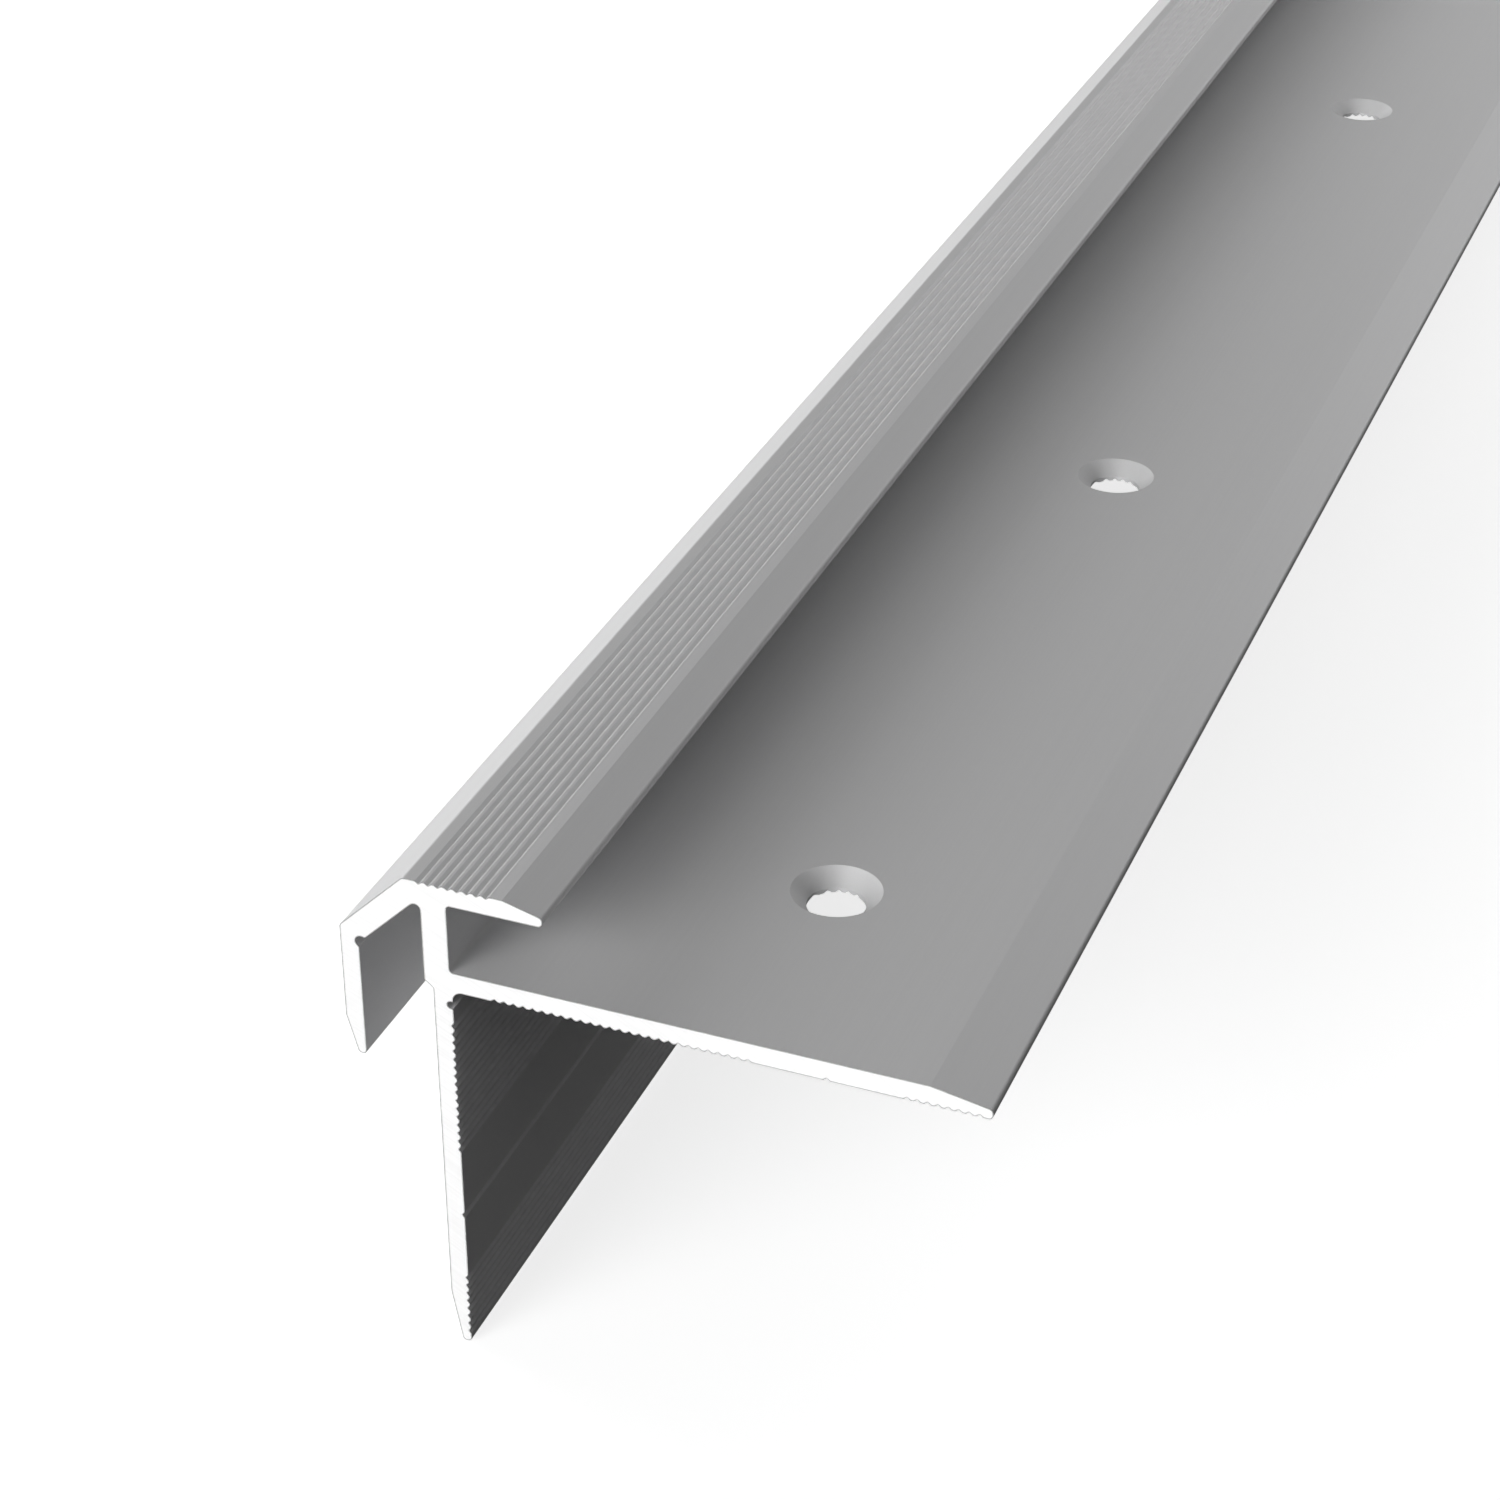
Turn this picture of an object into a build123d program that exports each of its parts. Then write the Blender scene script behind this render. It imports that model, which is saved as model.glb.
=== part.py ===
# Stair-edge threshold strip: one aluminium extrusion, sawn to length, with countersunk screw holes.
# Millimetres. +X runs over the tread, +Y runs along the strip, +Z is up.
# The origin is on the middle screw hole's axis, at the underside of the flange, halfway along.
from build123d import *
from math import radians, tan
import os

# --- strip and screw holes -----------------------------------------------------------------
LENGTH = 900.0
HOLE_R = 2.55
SINK_R = 3.95
SINK_ANGLE = 90.0
HOLE_PITCH = 114.6
HOLE_COUNT = 7
END_HOLE_INSET = 22.8

# --- flange that lies on the tread ---------------------------------------------------------
FLANGE_T = 1.87
FLANGE_END_X = 21.34
FLANGE_TAPER_X = 16.15
FLANGE_TAPER_ANGLE = 10.0

# --- web and the upper lip over the tread covering -----------------------------------------
WEB_BACK_X = -25.04
WEB_T = 2.34
SLOT_H = 6.5
TOP_Z = 10.17
UPPER_LIP_END_X = -16.53
UPPER_TAPER_X = -20.0
LIP_TAPER_ANGLE = 15.0

# --- 45 degree front slope and the front lip over the riser covering ------------------------
FRONT_X = -34.9
FRONT_LIP_T = 1.7
FRONT_LIP_END_Z = -8.52
FRONT_TAPER_Z = -4.9
SLOPE_TOP_X = -28.88
SLOPE_WALL_RISE = 3.1
RELIEF_R = 0.55
RELIEF_OFFSET_X = 0.22
RELIEF_OFFSET_Z = 0.12

# --- leg that lies on the riser ------------------------------------------------------------
LEG_BACK_X = -24.87
LEG_T = 1.73
LEG_END_Z = -37.3
LEG_TAPER_Z = -32.1
LEG_TAPER_ANGLE = 10.0
LEG_STEP_TOP_Z = 0.6
LEG_STEP_BOTTOM_Z = -0.05
CORNER_R = 0.9
CORNER_RELIEF_R = 0.35
CORNER_RELIEF_X = -25.05
CORNER_RELIEF_Z = -1.38

# --- rounded edges of the section ----------------------------------------------------------
TIP_R = 0.4
SLIM_TIP_R = 0.35
SLOT_R = 0.35
APEX_R = 0.5
NOSE_R = 0.5
STEP_R = 0.25

# --- rows of small V grooves: each is (centre along the face, number of grooves) --------------
GROOVE_PITCH = 0.85
GROOVE_W = 0.58
GROOVE_DEPTH = 0.24
GROOVE_ROOT_R = 0.08
TOP_ROWS = [(-24.43, 8)]
FLANGE_ROWS = [(-10.04, 27), (7.63, 1), (17.27, 8)]
LEG_ROWS = [(-9.85, 16), (-23.25, 1), (-33.15, 8)]


def drop(run, angle):
    """Height that a taper loses over a run."""
    return run * tan(radians(angle))


def rounded_face(corners):
    """Closed face through (x, z, radius) corners, each rounded by its own radius."""
    face = make_face(Polyline([(x, z) for x, z, _ in corners], close=True))
    for x, z, radius in corners:
        if radius > 0:
            corner = face.vertices().sort_by_distance((x, z, 0))[0]
            face = fillet(corner, radius)
    return face


def groove_rows(rows):
    """Positions along a face of every groove in its rows."""
    return [
        centre + (i - (count - 1) / 2) * GROOVE_PITCH
        for centre, count in rows
        for i in range(count)
    ]


def groove_cutter():
    """V groove that opens towards +Y of its own plane, with its mouth on the X axis."""
    mouth = GROOVE_W / 2
    points = [(-2 * mouth, GROOVE_DEPTH), (0, -GROOVE_DEPTH), (2 * mouth, GROOVE_DEPTH)]
    cutter = make_face(Polyline(points, close=True))
    return fillet(cutter.vertices().sort_by(Axis.Y)[0], GROOVE_ROOT_R)


def make_section():
    """Section of the extrusion, drawn in X and Z."""
    web_front_x = WEB_BACK_X - WEB_T
    lip_under_z = FLANGE_T + SLOT_H
    slope_foot_z = TOP_Z - (SLOPE_TOP_X - FRONT_X)
    front_inner_x = FRONT_X + FRONT_LIP_T
    # The slope's inner face runs at 45 degrees, a fixed rise below its outer face.
    inner_slope = TOP_Z - SLOPE_TOP_X - SLOPE_WALL_RISE
    leg_front_x = LEG_BACK_X - LEG_T
    corners = [
        (FLANGE_END_X, 0, TIP_R),
        (FLANGE_END_X, FLANGE_T - drop(FLANGE_END_X - FLANGE_TAPER_X, FLANGE_TAPER_ANGLE), TIP_R),
        (FLANGE_TAPER_X, FLANGE_T, 0),
        (WEB_BACK_X, FLANGE_T, SLOT_R),
        (WEB_BACK_X, lip_under_z, SLOT_R),
        (UPPER_LIP_END_X, lip_under_z, TIP_R),
        (UPPER_LIP_END_X, TOP_Z - drop(UPPER_LIP_END_X - UPPER_TAPER_X, LIP_TAPER_ANGLE), TIP_R),
        (UPPER_TAPER_X, TOP_Z, 0),
        (SLOPE_TOP_X, TOP_Z, NOSE_R),
        (FRONT_X, slope_foot_z, NOSE_R),
        (FRONT_X, FRONT_TAPER_Z, 0),
        (FRONT_X + drop(FRONT_TAPER_Z - FRONT_LIP_END_Z, LIP_TAPER_ANGLE), FRONT_LIP_END_Z, TIP_R),
        (front_inner_x, FRONT_LIP_END_Z, SLIM_TIP_R),
        (front_inner_x, front_inner_x + inner_slope, 0),
        (web_front_x, web_front_x + inner_slope, APEX_R),
        (web_front_x, LEG_STEP_TOP_Z, STEP_R),
        (leg_front_x, LEG_STEP_BOTTOM_Z, STEP_R),
        (leg_front_x, LEG_TAPER_Z, 0),
        (leg_front_x + drop(LEG_TAPER_Z - LEG_END_Z, LEG_TAPER_ANGLE), LEG_END_Z, SLIM_TIP_R),
        (LEG_BACK_X, LEG_END_Z, TIP_R),
        (LEG_BACK_X, 0, CORNER_R),
    ]
    section = rounded_face(corners)

    # Round relief grooves in the front lip's inner corner and under the flange's corner.
    relief_x = front_inner_x + RELIEF_OFFSET_X
    relief_z = front_inner_x + inner_slope + RELIEF_OFFSET_Z
    cutters = [
        Pos(relief_x, relief_z) * Circle(RELIEF_R),
        Pos(CORNER_RELIEF_X, CORNER_RELIEF_Z) * Circle(CORNER_RELIEF_R),
    ]

    # Grip grooves on top, adhesive grooves under the flange and on the back of the leg.
    groove = groove_cutter()
    cutters += [Pos(x, TOP_Z) * groove for x in groove_rows(TOP_ROWS)]
    cutters += [Pos(x, 0) * Rot(0, 0, 180) * groove for x in groove_rows(FLANGE_ROWS)]
    cutters += [Pos(LEG_BACK_X, z) * Rot(0, 0, -90) * groove for z in groove_rows(LEG_ROWS)]
    return section - cutters


def hole_stations():
    """Positions along the strip of every screw hole."""
    first = -(HOLE_COUNT - 1) / 2 * HOLE_PITCH
    inner = [first + i * HOLE_PITCH for i in range(HOLE_COUNT)]
    outer = LENGTH / 2 - END_HOLE_INSET
    return [-outer] + inner + [outer]


def screw_hole():
    """Countersunk hole cutter, standing on the underside of the flange."""
    margin = 1.0
    sink_depth = (SINK_R - HOLE_R) / tan(radians(SINK_ANGLE / 2))
    shank = Pos(0, 0, -margin) * extrude(Circle(HOLE_R), FLANGE_T + 2 * margin)
    cone = Pos(0, 0, FLANGE_T - sink_depth / 2) * Cone(HOLE_R, SINK_R, sink_depth)
    mouth = Pos(0, 0, FLANGE_T) * extrude(Circle(SINK_R), margin)
    return shank + cone + mouth


def make_profile():
    """The sawn and drilled extrusion."""
    body = extrude(Plane.XZ * make_section(), LENGTH / 2, both=True)
    hole = screw_hole()
    return body - [Pos(0, y, 0) * hole for y in hole_stations()]


profile = make_profile()
profile.label = "profile"
os.makedirs("parts", exist_ok=True)
export_step(profile, "parts/profile.step")
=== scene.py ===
from math import cos, radians, sin

import bpy
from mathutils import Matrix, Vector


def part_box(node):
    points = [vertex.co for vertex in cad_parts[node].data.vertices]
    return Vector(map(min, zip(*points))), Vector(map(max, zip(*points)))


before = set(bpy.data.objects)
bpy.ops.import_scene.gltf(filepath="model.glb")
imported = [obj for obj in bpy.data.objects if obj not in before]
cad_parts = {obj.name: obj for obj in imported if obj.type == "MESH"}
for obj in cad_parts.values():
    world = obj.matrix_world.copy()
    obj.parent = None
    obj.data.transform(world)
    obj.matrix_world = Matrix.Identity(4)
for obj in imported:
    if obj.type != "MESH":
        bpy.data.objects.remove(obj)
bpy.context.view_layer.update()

LOW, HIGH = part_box("profile")
scene = bpy.context.scene
scene.view_settings.view_transform = "Standard"

MM = 0.001


# ---------------------------------------------------------------- node helpers
def node_tree(owner):
    owner.use_nodes = True
    owner.node_tree.nodes.clear()
    return owner.node_tree


def add(tree, kind, **values):
    """A node with its sockets set by name, or linked where the value is a socket."""
    node = tree.nodes.new(kind)
    for name, value in values.pop("props", {}).items():
        setattr(node, name, value)
    for name, value in values.items():
        set_input(tree, node, name.replace("_", " "), value)
    return node


def set_input(tree, node, key, value):
    socket = node.inputs[key]
    if isinstance(value, bpy.types.NodeSocket):
        tree.links.new(value, socket)
    else:
        socket.default_value = value


def math(tree, operation, *values):
    node = tree.nodes.new("ShaderNodeMath")
    node.operation = operation
    for i, value in enumerate(values):
        set_input(tree, node, i, value)
    return node.outputs[0]


def dot(tree, a, b):
    node = tree.nodes.new("ShaderNodeVectorMath")
    node.operation = "DOT_PRODUCT"
    set_input(tree, node, 0, a)
    set_input(tree, node, 1, b)
    return node.outputs["Value"]


def map_range(tree, value, low, high, to_low=0.0, to_high=1.0, kind="LINEAR"):
    node = tree.nodes.new("ShaderNodeMapRange")
    node.interpolation_type = kind
    for key, v in zip(("Value", "From Min", "From Max", "To Min", "To Max"),
                      (value, low, high, to_low, to_high)):
        set_input(tree, node, key, v)
    return node.outputs[0]


def mix(tree, factor, a, b):
    node = tree.nodes.new("ShaderNodeMix")
    node.data_type = "FLOAT"
    for key, v in zip((0, 2, 3), (factor, a, b)):
        set_input(tree, node, key, v)
    return node.outputs[0]


def mix_colour(tree, factor, a, b):
    node = tree.nodes.new("ShaderNodeMix")
    node.data_type = "RGBA"
    for key, v in zip((0, 6, 7), (factor, a, b)):
        set_input(tree, node, key, v)
    return node.outputs[2]


def grey(value):
    return (value, value, value, 1.0)


# ---------------------------------------------------------------- aluminium
METALLIC = 0.2            # a matt oxide skin scatters more light than it mirrors
SPECULAR = 0.15
SKIN_ROUGHNESS = 0.48
SAWN_ROUGHNESS = (0.38, 0.5)
SKIN_EDGE_WIDTH = 0.15 * MM
SAWN_EDGE_WIDTH = 0.3 * MM
SAWN_DEPTH = (0.03 * MM, 0.01 * MM)       # where the skin ends and the bare cut begins
BLADE_CENTRE = (-90.0 * MM, -130.0 * MM)  # X and Z of the saw's axle
RELIEF_DEPTH = 0.02 * MM

SKIN_DARK = (0.67, 0.67, 0.675, 1.0)
SKIN_LIGHT = (0.75, 0.75, 0.755, 1.0)
# Lighter colour on the skin's edges: partly wear, partly a painted highlight.
SKIN_WEAR_AND_HIGHLIGHT = (0.95, 0.95, 0.955, 1.0)
# The rim colour paints a dark shade line round the edges of the sawn ends.
CUT_DARK, CUT_LIGHT, CUT_SHADE_RIM = 0.90, 0.98, 0.12


def aluminium():
    """Satin anodised extrusion, with die lines along it, edges lightened partly by wear and
    partly as a painted highlight, a painted dark shade line round the sawn ends, and bare sawn
    ends.
    """
    material = bpy.data.materials.new("anodised_finish")
    tree = node_tree(material)
    out = add(tree, "ShaderNodeOutputMaterial")
    shader = add(tree, "ShaderNodeBsdfPrincipled", Specular_IOR_Level=SPECULAR)
    tree.links.new(shader.outputs[0], out.inputs["Surface"])
    place = add(tree, "ShaderNodeTexCoord").outputs["Object"]

    def noise(scale, detail, roughness=0.5):
        """Noise in cells per metre along X, Y and Z."""
        mapping = add(tree, "ShaderNodeMapping", Vector=place, Scale=scale)
        return add(tree, "ShaderNodeTexNoise", Vector=mapping.outputs[0], Scale=1.0,
                   Detail=detail, Roughness=roughness).outputs["Fac"]

    die_lines = noise((5000.0, 5.0, 5000.0), 3.0)
    fine_lines = noise((20000.0, 40.0, 20000.0), 2.0)
    grain = noise((8000.0, 8000.0, 8000.0), 3.0, 0.6)
    clouds = noise((60.0, 10.0, 60.0), 2.0)

    # The sawn ends, with the arcs that a round blade leaves.
    xyz = add(tree, "ShaderNodeSeparateXYZ", Vector=place).outputs
    sawn = map_range(tree, math(tree, "ABSOLUTE", xyz["Y"]),
                     HIGH.y - SAWN_DEPTH[0], HIGH.y - SAWN_DEPTH[1])
    blade_x = math(tree, "SUBTRACT", xyz["X"], BLADE_CENTRE[0])
    blade_z = math(tree, "SUBTRACT", xyz["Z"], BLADE_CENTRE[1])
    blade_r = math(tree, "SQRT", math(tree, "ADD", math(tree, "MULTIPLY", blade_x, blade_x),
                                      math(tree, "MULTIPLY", blade_z, blade_z)))
    ring = add(tree, "ShaderNodeCombineXYZ", X=math(tree, "MULTIPLY", blade_r, 5000.0),
               Y=math(tree, "MULTIPLY", xyz["X"], 60.0), Z=0.0).outputs[0]
    saw_marks = add(tree, "ShaderNodeTexNoise", Vector=ring, Scale=1.0, Detail=4.0,
                    Roughness=0.7).outputs["Fac"]

    # Edges, where the surface's normal turns within a fraction of a millimetre.
    edge_width = mix(tree, sawn, SKIN_EDGE_WIDTH, SAWN_EDGE_WIDTH)
    turned = add(tree, "ShaderNodeBevel", props={"samples": 8}, Radius=edge_width).outputs[0]
    flat = add(tree, "ShaderNodeNewGeometry").outputs["True Normal"]
    edge = map_range(tree, dot(tree, turned, flat), 0.99, 0.8)
    # Edge mask for the lightening: partly wear, partly a painted highlight along the edges.
    wear_and_highlight = math(tree, "MULTIPLY", edge, map_range(tree, grain, 0.35, 0.65, 0.2, 1.0))

    tone = math(tree, "ADD", math(tree, "MULTIPLY", clouds, 0.25),
                math(tree, "ADD", math(tree, "MULTIPLY", die_lines, 0.35),
                     math(tree, "MULTIPLY", grain, 0.3)))
    skin = mix_colour(tree, tone, SKIN_DARK, SKIN_LIGHT)
    # Edges lightened: partly wear, partly a painted highlight.
    skin = mix_colour(tree, math(tree, "MULTIPLY", wear_and_highlight, 0.8), skin, SKIN_WEAR_AND_HIGHLIGHT)
    bare = mix_colour(tree, map_range(tree, saw_marks, 0.3, 0.7), grey(CUT_DARK), grey(CUT_LIGHT))
    # Painted dark shade line along the edges of the sawn ends.
    bare = mix_colour(tree, math(tree, "MULTIPLY", edge, 0.9), bare, grey(CUT_SHADE_RIM))
    set_input(tree, shader, "Base Color", mix_colour(tree, sawn, skin, bare))
    set_input(tree, shader, "Metallic", METALLIC)

    skin_rough = math(tree, "ADD", SKIN_ROUGHNESS,
                      math(tree, "ADD", math(tree, "MULTIPLY", grain, 0.06),
                           math(tree, "MULTIPLY", die_lines, 0.04)))
    skin_rough = math(tree, "SUBTRACT", skin_rough, math(tree, "MULTIPLY", wear_and_highlight, 0.08))
    set_input(tree, shader, "Roughness",
              mix(tree, sawn, skin_rough, map_range(tree, saw_marks, 0.3, 0.7, *SAWN_ROUGHNESS)))

    relief = math(tree, "ADD", die_lines,
                  math(tree, "MULTIPLY", math(tree, "ADD", fine_lines, grain), 0.5))
    height = mix(tree, sawn, relief, math(tree, "MULTIPLY", saw_marks, 3.0))
    bump = add(tree, "ShaderNodeBump", Strength=0.12, Distance=RELIEF_DEPTH, Height=height)
    set_input(tree, shader, "Normal", bump.outputs[0])
    return material


finish = aluminium()
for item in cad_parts["profile"].material_slots:
    item.material = finish


# ---------------------------------------------------------------- backdrop, light and camera
FLOOR_SIZE = 12.0
FLOOR_GAP = 0.2 * MM      # keeps the floor clear of the leg's end
FLOOR_GLOW = 0.77
DOME_RADIUS = 5.9
DOME_GLOW = 1.0

# Soft boxes round the object: azimuth from +Y towards +X, elevation, half width, all in
# degrees, and strength.
SOFT_BOXES = [
    (0, 90, 50, 0.22),
    (182, -12, 14, 9.0),
    (200, 15, 30, 7.2),
    (215, 15, 30, 0.6),
    (300, 12, 30, 4.0),
    (10, 10, 25, 0.9),
    (110, 24, 22, 0.6),
    (100, 5, 45, 0.12),
]
SIDE_BOX_PLACE = (0.20, 0.30, 0.35)
SIDE_BOX_SIZE = 0.35
SIDE_BOX_WATTS = 1.0

CAMERA_PLACE = (0.07965, -0.64818, 0.15880)
CAMERA_TURN = (58.642, 0.0, 21.600)       # degrees
CAMERA_LENS = 80.46


def paper(name, emission):
    """Pale backdrop paper, lit from within so that it stays even."""
    material = bpy.data.materials.new(name)
    tree = node_tree(material)
    out = add(tree, "ShaderNodeOutputMaterial")
    shader = add(tree, "ShaderNodeBsdfPrincipled", Base_Color=grey(0.6), Roughness=0.9,
                 Specular_IOR_Level=0.0, Emission_Color=grey(1.0), Emission_Strength=emission)
    tree.links.new(shader.outputs[0], out.inputs["Surface"])
    return material


def stage(name, material):
    """Make the active mesh a backdrop that neither lights the metal nor shades it."""
    item = bpy.context.object
    item.name = name
    item.data.materials.append(material)
    item.visible_glossy = False
    item.visible_diffuse = False
    item.visible_shadow = False


def make_backdrop():
    bpy.ops.mesh.primitive_plane_add(size=FLOOR_SIZE, location=(0.0, 0.0, LOW.z - FLOOR_GAP))
    stage("floor", paper("floor_paper", FLOOR_GLOW))
    bpy.ops.mesh.primitive_uv_sphere_add(radius=DOME_RADIUS, segments=64, ring_count=32)
    stage("backdrop", paper("backdrop_paper", DOME_GLOW))


def make_light():
    world = bpy.data.worlds.new("studio")
    scene.world = world
    tree = node_tree(world)
    out = add(tree, "ShaderNodeOutputWorld")
    direction = add(tree, "ShaderNodeTexCoord").outputs["Generated"]
    total = 0.0
    for azimuth, elevation, half_width, strength in SOFT_BOXES:
        a, e = radians(azimuth), radians(elevation)
        near = dot(tree, direction, (sin(a) * cos(e), cos(a) * cos(e), sin(e)))
        box = map_range(tree, near, cos(radians(half_width)), 1.0, 0.0, strength, "SMOOTHSTEP")
        total = math(tree, "ADD", total, box)
    background = add(tree, "ShaderNodeBackground", Color=grey(1.0), Strength=total)
    tree.links.new(background.outputs[0], out.inputs["Surface"])

    lamp = bpy.data.lights.new("side_box", "AREA")
    lamp.shape = "DISK"
    lamp.size = SIDE_BOX_SIZE
    lamp.energy = SIDE_BOX_WATTS
    side_box = bpy.data.objects.new("side_box", lamp)
    side_box.location = SIDE_BOX_PLACE
    aim = -side_box.location
    side_box.rotation_euler = aim.to_track_quat("-Z", "Y").to_euler()
    scene.collection.objects.link(side_box)


def make_camera():
    data = bpy.data.cameras.new("camera")
    data.sensor_width = 36.0
    data.lens = CAMERA_LENS
    data.clip_start = 0.01
    camera = bpy.data.objects.new("camera", data)
    camera.location = CAMERA_PLACE
    camera.rotation_euler = [radians(angle) for angle in CAMERA_TURN]
    scene.collection.objects.link(camera)
    scene.camera = camera


make_backdrop()
make_light()
make_camera()
